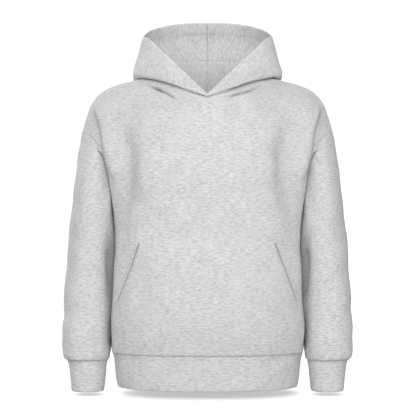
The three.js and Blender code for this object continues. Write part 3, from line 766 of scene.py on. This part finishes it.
def panelPiece(face):
    look = frontPanel if face < 0 else backPanel
    across = panelAcross if face < 0 else panelAcross[::-1]
    grid = evenOut(panelPoint(face, across[None, :], panelRows[:, None]), across, panelRows)
    up, down, left, right = fromEdges(grid)
    seams = (seamRelief(up, left, 21, seamLook["bands"]) + seamRelief(down, left, 22)
             + seamRelief(left, up, 23) + seamRelief(right, up, 24))
    relief = panelRelief(face, across[None, :], panelRows[:, None], grid)
    folds = foldDepth(look["folds"], grid[..., 0], grid[..., 2]) * smooth(0, look["foldShadeFrom"], down)
    # painted shade in the fold troughs, painted light beside the hem seam
    shade = -look["foldShade"] * folds - wornSeam(up)
    if face < 0:
        crease, creaseShade = creaseRelief(grid, down)
        tucks = foldDepth(look["tucks"], grid[..., 0], grid[..., 2]) * smooth(0, look["tuckFrom"], down)
        seams = seams + crease + tucks
        shade = shade + creaseShade + gapShade(grid) - look["tuckShade"] * tucks
        start, end = look["cornerStart"], look["cornerEnd"]
        corner = look["corner"] * (smooth(*start, panelRows) * (1 - smooth(*end, panelRows)))[:, None]
        for distance in (left, right):
            seams = seams + corner * bell(distance - look["cornerAt"], look["cornerWidth"])
    return formOf(grid, relief + seams, fromMiddle(left), up, -shade)


# Kangaroo pocket: a patch made from the front panel's own points, moved out, its slanted sides open.
pocket = {
    "top": 0.422, "mouthEnd": 0.136, "topReach": 0.447, "sideReach": 0.785, "lift": 0.4, "puff": 9,
    "mouthPuff": 0.35, "puffSpread": 0.8, "topThickness": 1.1, "topEase": 9, "sideGrip": 6,
    "mouthEase": 0.08, "mouthCurve": 0.72, "rows": 92, "columns": 156,
    # a row of stitches beside the mouth's turned edge draws the cloth down into a groove, which is also
    # painted darker: painted shade
    "mouthSteps": (0.2, 0.2, 0.25, 0.25, 0.3, 0.3, 0.3, 0.35, 0.4, 0.5, 0.7, 0.85), "groove": 3.2,
    "grooveAt": 4.4, "grooveWidth": 2.6, "grooveShade": 7, "grooveFrom": (0.2, 0.32), "grooveTop": 8,
    "mouthWear": 2.0, "hemHold": 0.08, "slack": 0.6, "slackLength": 60,
    "folds": [
        (-150, -372, -120, -440, -146, -520, -1.4, 16),
        (150, -366, 124, -430, 148, -510, -1.2, 16),
        (-60, -400, 10, -430, 84, -404, 1.0, 30),
    ],
}


def pocketPiece():
    p = pocket
    up = spacing(p["rows"], True, True)[:, None] * p["top"]
    share = np.clip((up - p["mouthEnd"]) / (p["top"] - p["mouthEnd"]), 0, 1) ** p["mouthCurve"]
    reach = mix(p["sideReach"], p["topReach"], share)
    k = (spacing(p["columns"], True, True, p["mouthSteps"]) * 2 - 1)[None, :]
    across = k * reach
    up = np.broadcast_to(up, across.shape)
    sheet = panelPoint(-1, across, up)
    x, z = sheet[..., 0], sheet[..., 2]
    onPanel = sheet + directions(sheet) * panelRelief(-1, across, up, sheet)[..., None]
    middle = np.sin(np.pi * np.clip(up / p["top"], 0, 1)) ** p["puffSpread"]
    held = 1 - smooth(p["mouthEnd"], p["mouthEnd"] + p["mouthEase"], up)
    edge = np.abs(k) ** p["sideGrip"]
    side = (1 - held * edge) * (1 - (1 - p["mouthPuff"]) * edge)
    thickness = mix(p["topThickness"], body["cloth"], smooth(0, p["topEase"], fromEdges(sheet)[1]))
    base = onPanel + directions(onPanel) * (p["lift"] + thickness + p["puff"] * middle * side)[..., None]
    height, top, left, right = fromEdges(base)
    mouth = np.minimum(left, right)
    groove = bell(mouth - p["grooveAt"], p["grooveWidth"]) * smooth(*p["grooveFrom"], up / p["top"])
    groove = groove * smooth(0, p["grooveTop"], top)
    relief = foldDepth(p["folds"], x, z) + p["slack"] * slack(x, z, p["slackLength"], 31)
    relief = (relief * smooth(0, p["hemHold"], up) * middle - p["groove"] * groove
              + seamRelief(height, left, 21, seamLook["bands"]))
    # the mouth's edges are paler from wear; the groove gets painted shade
    edgeWearAndPaintedShade = bell(mouth, p["mouthWear"]) - p["grooveShade"] * groove
    return formOf(base, relief, fromMiddle(left), height, edgeWearAndPaintedShade, thickness)


# Sleeves, a long panel each, sewn along the underarm. Rings run from the armhole (0) to the cuff seam (1).
sleeve = {
    "rows": 122, "rowPower": 0.95, "armholeFade": 0.24, "slack": 1.1, "slackLength": 80, "endHold": 36,
    "seamHold": 60, "seamShare": 0.25, "gather": 1.3, "gatherLength": 22, "gatherFrom": 7,
    "gatherAt": 8, "gatherReach": 26, "innerBulge": 4.5, "innerSpread": 45, "bulgeAbove": (10, 60),
    "bulgeBelow": (60, 120), "seamRelief": 0.7,
    "foldsRight": [
        (-167, 240, -166, 180, -170, 112, -14, 19),
        (-160, 98, -162, 52, -166, 2, -19, 17),
        (-158, 372, -163, 335, -166, 292, 5, 16),
        (-20, 60, 30, 48, 78, 66, -2.6, 12),
        (-70, 96, -20, 112, 44, 100, -2.0, 14),
        (-104, 150, -40, 190, 20, 178, -1.6, 20),
        (-120, 250, -70, 262, -10, 300, -1.8, 20),
        (-60, 330, -10, 372, 40, 356, -1.4, 24),
    ],
    "foldsLeft": [
        (168, 240, 167, 182, 171, 110, -14, 19),
        (160, 96, 162, 50, 166, 2, -19, 17),
        (158, 372, 163, 335, 166, 292, 5, 16),
        (-74, 64, -26, 50, 24, 60, -2.4, 12),
        (-40, 104, 16, 96, 70, 112, -2.2, 14),
        (-24, 176, 30, 196, 100, 152, -1.6, 20),
        (12, 292, 66, 268, 118, 246, -1.8, 20),
        (-46, 350, 8, 366, 60, 326, -1.4, 24),
    ],
}
sleeveRings = makeTable(
    "along outerX outerZ innerX innerZ frontY backY",
    (0, 266, -126, 190, -250, -50, 62),
    (0.12, 274.5, -178, 195.5, -290, -62, 88),
    (0.3, 285, -265, 192, -345, -64, 96),
    (0.5, 294.5, -365, 192.5, -410, -62, 86),
    (0.7, 301, -460, 195.5, -480, -64, 64),
    (0.86, 303.5, -540, 200.5, -545, -70, 40),
    (0.95, 302, -579, 202.5, -580, -71, 28),
    (0.985, 298, -591, 205.5, -592, -68, 22),
    (1, 292.5, -594, 208, -594, -62.5, 15.5),
)
armTurns = np.concatenate([1 - upperShares, 1 + upperShares[-2::-1]])


def armholePoint(turns):
    rise = mix(body["lowerShare"], 1, np.abs(1 - turns))
    front, back = panelPoint(-1, 1.0, rise), panelPoint(1, 1.0, rise)
    return np.where((np.arange(len(turns)) < len(upperShares))[:, None], front, back)


def armRing(angle, ring):
    x, y = ringPoint(angle, ring["halfWidth"], ring["halfDepth"], ring["halfDepth"], body["armSquareness"])
    return np.stack([ring["x"] + x, ring["y"] + y, ring["level"] + ring["lean"] * x / ring["halfWidth"]], -1)


def sleeveRing(along):
    get = readAll(sleeveRings, along)
    return {
        "x": (get["outerX"] + get["innerX"]) / 2,
        "y": (get["backY"] + get["frontY"]) / 2,
        "level": (get["outerZ"] + get["innerZ"]) / 2,
        "lean": (get["outerZ"] - get["innerZ"]) / 2,
        "halfWidth": (get["outerX"] - get["innerX"]) / 2,
        "halfDepth": (get["backY"] - get["frontY"]) / 2,
    }


def sleevePoint(turns, along):
    angle = np.pi * turns
    fromArmhole = armholePoint(turns) - armRing(angle, sleeveRing(0.0))
    fade = 1 - smooth(0, sleeve["armholeFade"], along)
    return armRing(angle[None, :], sleeveRing(along)) + fromArmhole[None, :, :] * fade[..., None]


def sleevePiece(side):
    look = sleeve
    along = (1 - spacing(look["rows"], True, True)[:, None]) ** look["rowPower"]
    grid = sleevePoint(armTurns, along)
    if side < 0:
        grid = mirrored(grid)
    height, below, around, other = fromEdges(grid)
    u, fromSeam = fromMiddle(around), np.minimum(around, other)
    seed = 40 + side
    hold = smooth(0, look["endHold"], np.minimum(height, below))
    hold = hold * mix(look["seamShare"], 1, smooth(0, look["seamHold"], fromSeam))
    folds = foldDepth(look["foldsRight"] if side > 0 else look["foldsLeft"], u, height)
    relief = (folds + look["slack"] * slack(u, height, look["slackLength"], seed)) * hold
    relief += gathers(look, u, height, seed + 5)
    crease, shade = creaseRelief(grid, -side * u)
    # painted shade at the crease and between sleeve and body, painted light beside the cuff seam
    shade = shade + gapShade(grid) - wornSeam(height)
    relief += crease
    relief += (look["innerBulge"] * bell(fromSeam, look["innerSpread"])
               * smooth(*look["bulgeAbove"], height) * smooth(*look["bulgeBelow"], below))
    relief += (seamRelief(height, around, 42, seamLook["bands"]) + seamRelief(below, around, 43)
               + seamRelief(around, height, 44, look["seamRelief"])
               + seamRelief(other, height, 45, look["seamRelief"]))
    return formOf(grid, relief, u, height, -shade)


# Cuffs and hem band: the same cloth folded double, its fold at the bottom.
bandLook = {
    "thickness": 3.8, "slackLength": 55, "foldHold": 10, "seamHold": 12, "gatherLength": 17,
    "gatherFrom": 5, "gatherAt": 6, "gatherReach": 12, "seamRelief": 0.8, "foldWear": 3.5,
}
cuff = {**bandLook, "rows": 34, "slack": 0.5, "gather": 0.5}
cuffRings = makeTable(
    "drop level x y halfWidth halfDepth",
    (0, -594, 250.25, -23.5, 42.25, 39),
    (8, -602, 249.5, -24, 39.8, 37),
    (30, -624, 249, -25, 37.4, 36),
    (49, -643, 249, -26, 35.4, 35),
    (60, -654, 249.2, -26.5, 34.4, 34),
    (63.5, -657.5, 249.2, -26.5, 33.2, 33),
)
band = {**bandLook, "rows": 38, "slack": 0.7, "gather": 0.6}
bandRings = makeTable(
    "drop widthShare depthShare",
    (0, 1, 1),
    (10, 0.981, 0.986),
    (38, 0.966, 0.97),
    (66, 0.95, 0.955),
    (72, 0.94, 0.944),
)


def bandRelief(grid, look, seed):
    height, below, around, other = fromEdges(grid)
    u = fromMiddle(around)
    hold = smooth(0, look["seamHold"], below) * smooth(0, look["foldHold"], height)
    relief = look["slack"] * slack(u, height, look["slackLength"], seed) * hold
    relief += gathers(look, u, below, seed + 1)
    relief += (seamRelief(below, around, seed + 2, seamLook["bands"])
               + seamRelief(around, height, seed + 3, look["seamRelief"])
               + seamRelief(other, height, seed + 4, look["seamRelief"]))
    return formOf(grid, relief, u, height, bell(height, look["foldWear"]), look["thickness"])


def cuffPiece(side):
    drop = cuffRings["drop"][-1] * (1 - spacing(cuff["rows"], True, True)[:, None])
    grid = armRing(np.pi * armTurns[None, :], {**readAll(cuffRings, drop), "lean": 0.0})
    if side < 0:
        grid = mirrored(grid)
    return bandRelief(grid, cuff, 50 + 3 * side)


def bandPiece():
    outline = np.concatenate([torsoPoint(-1, panelAcross, body["hemSeamLevel"]),
                              torsoPoint(1, panelAcross[-2::-1], body["hemSeamLevel"])])
    drop = bandRings["drop"][-1] * (1 - spacing(band["rows"], True, True)[:, None])
    x = outline[None, :, 0] * read(bandRings, "widthShare", drop)
    y = outline[None, :, 1] * read(bandRings, "depthShare", drop)
    return bandRelief(np.stack([x, y, body["hemSeamLevel"] - drop + 0 * x], -1), band, 60)


# Hood, a half on each side, lying back. Its cloth stands up from the neckline and rolls over, falls to its
# lowest edge and turns there, and rises to its open face, which is turned in and stitched.
hood = {
    "rows": 118, "hemRows": 34, "hem": 25, "hemThickness": 2.9, "rollStart": 0.1, "rollFull": 0.36,
    "flatSpread": 0.84, "underlap": 7.4, "underlapFull": 0.14, "underlapEnd": 0.3, "slack": 0.9,
    "slackLength": 60, "seamHold": 26, "faceHold": (20, 40), "frontHold": (0.06, 0.3),
    "seamFront": (0.02, 0.12), "hemEase": 4, "hemShare": 1.15, "faceWear": 3, "behind": (0.6, 0.85),
    "standLean": 8, "standMiddle": 0.55, "rimCurl": 8, "rimCurlAt": 0.8, "rimBulge": 0.6,
    "flatSteps": 7, "lineSteps": 481,
    # inside, the centre seam is a groove between its turned-back edges
    "seamGroove": 1.5, "grooveWidth": 1.5, "seamEdge": 0.7, "seamEdgeAt": 5, "seamEdgeWidth": 2.6,
    "seamEdgeFrom": (8, 14),
}
hoodFold = makeTable(
    "turn x y z roll standRise standRoll",
    (0, -4, -102, -54, 2.2, 0, 0.5),
    (0.12, 27, -99, -40, 3, 1, 1),
    (0.25, 62, -84, -31, 4, 6, 2),
    (0.38, 105, -46, -16, 6, 13, 4),
    (0.5, 150, 0, -6, 8, 18, 5),
    (0.62, 157, 50, -18, 11, 30, 4),
    (0.75, 135, 102, -62, 13, 46, 3.5),
    (0.88, 80, 136, -102, 15, 60, 3.5),
    (1, 0, 148, -117, 16, 67, 3.5),
)
hoodFace = makeTable(
    "turn x y z bulge",
    (0, -4, -105, -51.5, 0),
    (0.12, 18, -89, -29, 1),
    (0.25, 48, -65, 1, 3),
    (0.38, 86, -33, 38, 4),
    (0.5, 124, 2, 76, 2),
    (0.62, 138, 42, 85, 2),
    (0.75, 118, 84, 106, 5),
    (0.88, 64, 112, 121, 8),
    (1, 0, 121, 125, 9),
)


# a smooth curve through points, at shares of its length in points
def curveThrough(points, shares):
    ends = np.array([2 * points[0] - points[1], *points, 2 * points[-1] - points[-2]])
    place = shares * (len(points) - 1)
    i = np.minimum(place.astype(int), len(points) - 2)
    t = (place - i)[:, None]
    p0, p1, p2, p3 = (ends[i + k] for k in range(4))
    gap = [np.maximum(np.linalg.norm(b - a, axis=1, keepdims=True) ** 0.5, 1e-2)
           for a, b in ((p0, p1), (p1, p2), (p2, p3))]
    start = ((p1 - p0) / gap[0] - (p2 - p0) / (gap[0] + gap[1]) + (p2 - p1) / gap[1]) * gap[1]
    end = ((p2 - p1) / gap[1] - (p3 - p1) / (gap[1] + gap[2]) + (p3 - p2) / gap[2]) * gap[1]
    return p1 + t * start + t**2 * (3 * (p2 - p1) - 2 * start - end) + t**3 * (2 * (p1 - p2) + start + end)


def hoodLine(turn):
    neck, fold, face = readPoint(neckline, turn), readPoint(hoodFold, turn), readPoint(hoodFace, turn)
    if turn < hood["rollStart"]:
        neck[0] = mix(fold[0], neck[0], turn / hood["rollStart"])
    rise, standRoll, foldRoll = (read(hoodFold, name, turn) for name in ("standRise", "standRoll", "roll"))
    bulge = read(hoodFace, "bulge", turn)
    out = unit(np.array([fold[0] - neck[0], fold[1] - neck[1], 0]))
    up = np.array([0, 0, 1])
    standOuter = neck + out * (2 * standRoll + 2) + up * (rise - standRoll)
    foldInner = fold - out * 2 * foldRoll + up * foldRoll
    foldOuter = fold + up * foldRoll
    curl, lean = (out * hood[name] * smooth(*hood["behind"], turn) for name in ("rimCurl", "standLean"))
    rimOut = out * hood["rimBulge"] * bulge
    rolled = [neck, neck + out - lean / 2 + up * rise * hood["standMiddle"],
              neck + out * (standRoll + 1) - lean + up * rise,
              standOuter - lean, (standOuter + foldInner) / 2, foldInner, fold - out * foldRoll, foldOuter,
              (foldOuter + face) / 2 + out * bulge,
              mix(foldOuter, face, hood["rimCurlAt"]) + rimOut + curl, face]
    flatSteps = hood["flatSteps"]
    flat = [mix(neck, fold, k / flatSteps * hood["flatSpread"]) for k in range(flatSteps)]
    flat += [fold, (fold + face) / 2 + out * bulge, mix(fold, face, hood["rimCurlAt"]) + rimOut, face]
    share = smooth(hood["rollStart"], hood["rollFull"], turn)
    return [mix(a, b, share) for a, b in zip(flat, rolled)]


def hoodPiece(side):
    turns = np.concatenate([0.5 * neckShares, 1 - 0.5 * neckShares[-2::-1]])
    steps = np.linspace(0, 1, hood["lineSteps"])
    columns, toFace = [], []
    for turn in turns:
        line = curveThrough(hoodLine(turn), steps)
        length = lengthUp(line[:, None])[:, 0]
        hem = min(hood["hem"], length[-1] / 2)
        turned = hem * hood["hemShare"]
        low = spacing(hood["rows"], fineStart=True)[:-1] * (length[-1] - turned)
        high = length[-1] - turned * (1 - spacing(hood["hemRows"]))
        at = np.concatenate([low, high])
        columns.append(np.stack([np.interp(at, length, line[:, k]) for k in range(3)], 1))
        toFace.append((length[-1] - at) * hood["hem"] / hem)
    grid, toFace = np.stack(columns, 1), np.stack(toFace, 1)
    turnGrid = np.broadcast_to(turns[None, :], toFace.shape)
    if side < 0:
        tuck = hood["underlap"] * (1 - smooth(hood["underlapFull"], hood["underlapEnd"], turns))
        grid = grid + np.stack([0 * tuck, tuck, 0 * tuck], -1)[None]
        grid, toFace, turnGrid = mirrored(grid), toFace[:, ::-1], turnGrid[:, ::-1]
    height, _, around, other = fromEdges(grid)
    centre = other if side > 0 else around
    hold = smooth(0, hood["seamHold"], height) * smooth(*hood["faceHold"], toFace)
    hold = hold * smooth(0, hood["seamHold"], centre) * smooth(*hood["frontHold"], turnGrid)
    relief = hood["slack"] * slack(around, height, hood["slackLength"], 70 + side) * hold
    relief += seamRelief(height, around, 73) * smooth(*hood["seamFront"], turnGrid)
    relief += seamRelief(centre, height, 74)
    pastHem = smooth(hood["hem"] - hood["hemEase"], hood["hem"] + hood["hemEase"], toFace)
    seamEdge = bell(centre - hood["seamEdgeAt"], hood["seamEdgeWidth"])
    seamEdge = seamEdge * smooth(*hood["seamEdgeFrom"], height)
    thickness = (mix(hood["hemThickness"], body["cloth"], pastHem)
                 - hood["seamGroove"] * bell(centre, hood["grooveWidth"]) + hood["seamEdge"] * seamEdge)
    flatAcross = np.broadcast_to(centre.mean(0) * side, height.shape)
    return formOf(grid, relief, height, flatAcross, bell(toFace, hood["faceWear"]), thickness)


# each piece's form and cloth, its turned or folded edges, what it hangs from, and its rows of stitches: the
# edge, the distance from it, and the shares of the edge between which the row runs
panels, hoods = ["front_panel", "back_panel"], ["hood_right", "hood_left"]
bodyCloth = {"slot": "body_fleece", "materials": (bodyFleece, brushedFleece), "rounded": (), "from": panels}
bandCloth = {"slot": "band_fleece", "materials": (bandFleece,), "rounded": ("bottom",), "stitches": []}
hoodCloth = {"slot": "hood_fleece", "materials": (hoodFleece,), "from": panels}
sewnPanel = {**bodyCloth, "stitches": [("bottom", 4, 0, 1), ("right", 4, 0.56, 1), ("left", 4, 0.56, 1),
                                       ("top", 3.5, 0, 1)]}
sewnSleeve = {**bodyCloth, "stitches": [("bottom", 4, 0, 1)]}
pieces = {
    "front_panel": {**panelPiece(-1), **sewnPanel, "from": ["back_panel", *hoods]},
    "back_panel": {**panelPiece(1), **sewnPanel, "from": ["front_panel", *hoods]},
    "kangaroo_pocket": {**pocketPiece(), **bodyCloth, "rounded": ("top", "left", "right"),
                        "from": ["front_panel"],
                        "stitches": [("top", 2.5, 0, 1), ("top", 8, 0.01, 0.99), ("left", 3, 0, 1),
                                     ("right", 3, 0, 1), ("left", 9, 0.3, 0.97), ("right", 9, 0.3, 0.97)]},
    "sleeve_right": {**sleevePiece(1), **sewnSleeve},
    "sleeve_left": {**sleevePiece(-1), **sewnSleeve},
    "cuff_right": {**cuffPiece(1), **bandCloth, "from": ["sleeve_right"]},
    "cuff_left": {**cuffPiece(-1), **bandCloth, "from": ["sleeve_left"]},
    "hem_band": {**bandPiece(), **bandCloth, "from": panels},
    "hood_right": {**hoodPiece(1), **hoodCloth, "rounded": ("top", "left"),
                   "stitches": [("right", 3.5, 0, 1), ("top", 22.5, 0.02, 1)]},
    "hood_left": {**hoodPiece(-1), **hoodCloth, "rounded": ("top", "right"),
                  "stitches": [("left", 3.5, 0, 1), ("top", 22.5, 0, 0.98)]},
}
for piece in pieces.values():
    noteDirections(piece)
for piece in pieces.values():
    shareDirections(piece)
print("forms made")

for name, piece in pieces.items():
    outer = piece["grid"] + piece["shared"] * piece["relief"][..., None]
    inner = outer - piece["shared"] * (piece["thickness"] + 0 * piece["relief"])[..., None]
    obj = clothObject(name + "_cloth", outer, inner, piece["grainAndPaintedShade"], piece["materials"], piece["rounded"])
    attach(obj, "root")
    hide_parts(name)
    if piece["stitches"]:
        store = {"points": [], "faces": []}
        for k, (edge, distance, start, end) in enumerate(piece["stitches"]):
            line, out = lineAt(outer, edge, distance, start, end)
            stitchRow(store, line, out, 80 + k)
            if name.startswith("hood") and edge == "top":
                inside, out = lineAt(inner, edge, distance, start, end)
                stitchRow(store, inside, -out, 90 + k)
        points = np.concatenate(store["points"])
        stitches = meshObject(name + "_stitches", points, store["faces"], (spunThread,))
        stitches.data.shade_smooth()
        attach(stitches, "root")
    size = (float(lengthAcross(outer)[:, -1].max()) / 1000, float(lengthUp(outer)[-1].max()) / 1000)

# the floor, light and camera: soft light from the front and both sides, and some behind, over a bright sweep
studio = {
    "floorLevel": -0.667, "floorReach": 30, "floorColour": "#f4f4f4", "floorGlow": 0.46,
    "fillColour": "#f7f9ff", "fill": 0.22, "backdrop": 1.1,
    # a wide lamp over the camera: its place, size and power
    "lamp": ((0.03, -2.3, 0.58), 1.3, 24.5),
    "lampAim": (0, 0, -0.25),
    # where each distant light comes from, and its strength; all are as soft as this spread in degrees
    "spread": 60,
    "lights": {
        "frontLight": ((0.0, -0.8, 0.09), 1.15),
        "leftLight": ((-0.7, -0.6, 0.2), 0.82),
        "rightLight": ((0.7, -0.6, 0.2), 0.82),
        "backLight": ((-0.35, 0.8, 0.4), 2.8),
    },
    # the camera stands at this place, and a pixel of the picture is this wide at the garment's middle
    "cameraPlace": (0.001, -3.0, -0.279), "cameraDistance": 3000, "pixel": 2.1, "pixels": 416,
    "sensor": 36,
}
reach = studio["floorReach"]
corners = [(-reach, -reach, 0), (reach, -reach, 0), (reach, reach, 0), (-reach, reach, 0)]
floorMaterial, tree = newMaterial("painted studio floor, matt")
endMaterial(tree, {"Base Color": linearColour(studio["floorColour"]), "Roughness": 1.0,
                   "Specular IOR Level": 0.0, "Emission Color": (1, 1, 1, 1),
                   "Emission Strength": studio["floorGlow"]})
floor = meshObject("studio_floor", corners, [(0, 1, 2, 3)], (floorMaterial,), 1)
floor.location.z = studio["floorLevel"]
floor.visible_diffuse = False  # the cloth is lit by the sweep's light alone, not twice

world = bpy.data.worlds.new("white studio")
bpy.context.scene.world = world
world.use_nodes = True
tree = world.node_tree
tree.nodes.clear()
seen = addNode(tree, "LightPath")["Is Camera Ray"]
fill = addNode(tree, "Background", {"Color": linearColour(studio["fillColour"]), "Strength": studio["fill"]})
backdrop = addNode(tree, "Background", {"Color": (1, 1, 1, 1), "Strength": studio["backdrop"]})
both = addNode(tree, "MixShader", {0: seen, 1: fill[0], 2: backdrop[0]})
addNode(tree, "OutputWorld", {"Surface": both[0]})


def addLight(name, kind, energy, fromPlace):
    data = bpy.data.lights.new(name, kind)
    data.energy = energy
    light = bpy.data.objects.new(name, data)
    light.rotation_euler = Vector(fromPlace).to_track_quat("Z", "Y").to_euler()
    bpy.context.collection.objects.link(light)
    return light


for lightName, (fromPlace, strength) in studio["lights"].items():
    addLight(lightName, "SUN", strength, fromPlace).data.angle = math.radians(studio["spread"])

lampPlace, lampSize, lampPower = studio["lamp"]
lamp = addLight("lamp", "AREA", lampPower, Vector(lampPlace) - Vector(studio["lampAim"]))
lamp.data.size = lampSize
lamp.location = lampPlace

lens = bpy.data.cameras.new("camera")
lens.sensor_width = studio["sensor"]
lens.lens = studio["sensor"] * studio["cameraDistance"] / (studio["pixels"] * studio["pixel"])
lens.clip_end = 100
camera = bpy.data.objects.new("camera", lens)
camera.location = studio["cameraPlace"]
camera.rotation_euler = (math.pi / 2, 0, 0)
bpy.context.collection.objects.link(camera)
bpy.context.scene.camera = camera
bpy.context.scene.view_settings.view_transform = "Standard"
print("studio set")
